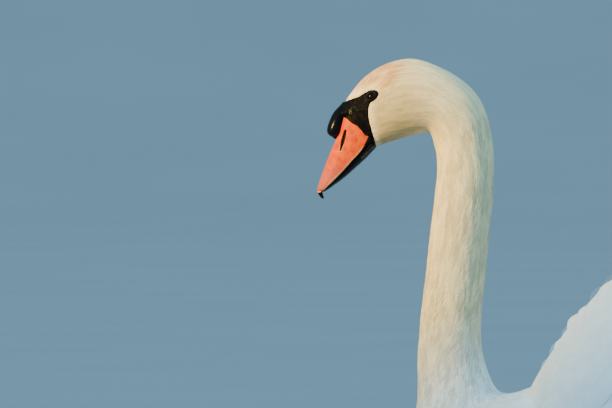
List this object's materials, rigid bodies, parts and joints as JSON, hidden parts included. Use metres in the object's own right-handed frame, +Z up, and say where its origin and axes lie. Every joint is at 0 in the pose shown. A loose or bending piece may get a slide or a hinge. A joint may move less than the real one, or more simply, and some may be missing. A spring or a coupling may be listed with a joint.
{
  "type": "mute swan",
  "caption": "Life-size still model of a mute swan resting on its belly, neck upright in an S, orange bill with black knob pointing down, wings arched over the back.",
  "frame": {"origin": "on the floor under the middle of the belly", "axes": "+Z up, the bird faces -X, its left side is towards -Y; the body lies along X"},
  "size_m": [0.9112, 0.4534, 0.598],
  "materials": {
    "plumage": "white overlapping feathers, warm cream on the head and neck, cool white on the wings, matt",
    "bill_orange": "smooth orange bill skin with a satin shine and a black edge",
    "bare_black": "black bare skin and horn, knobbly on the knob, satin",
    "eye_dark": "very dark brown wet eye, glossy",
    "foot_grey": "blackish grey scaled skin and webs, dull"
  },
  "bodies": {
    "root": {"head": "plumage", "neck_upper": "plumage", "neck_middle": "plumage", "neck_lower": "plumage", "trunk": "plumage", "tail": "plumage", "wing_left": "plumage", "wing_right": "plumage", "bill_upper": "bill_orange", "bill_lower": "bare_black", "bill_nail": "bare_black", "bill_knob": "bare_black", "eye_left": "eye_dark", "eye_right": "eye_dark", "leg_left": "foot_grey", "leg_right": "foot_grey", "foot_left": "foot_grey", "foot_right": "foot_grey"}
  },
  "joints": []
}
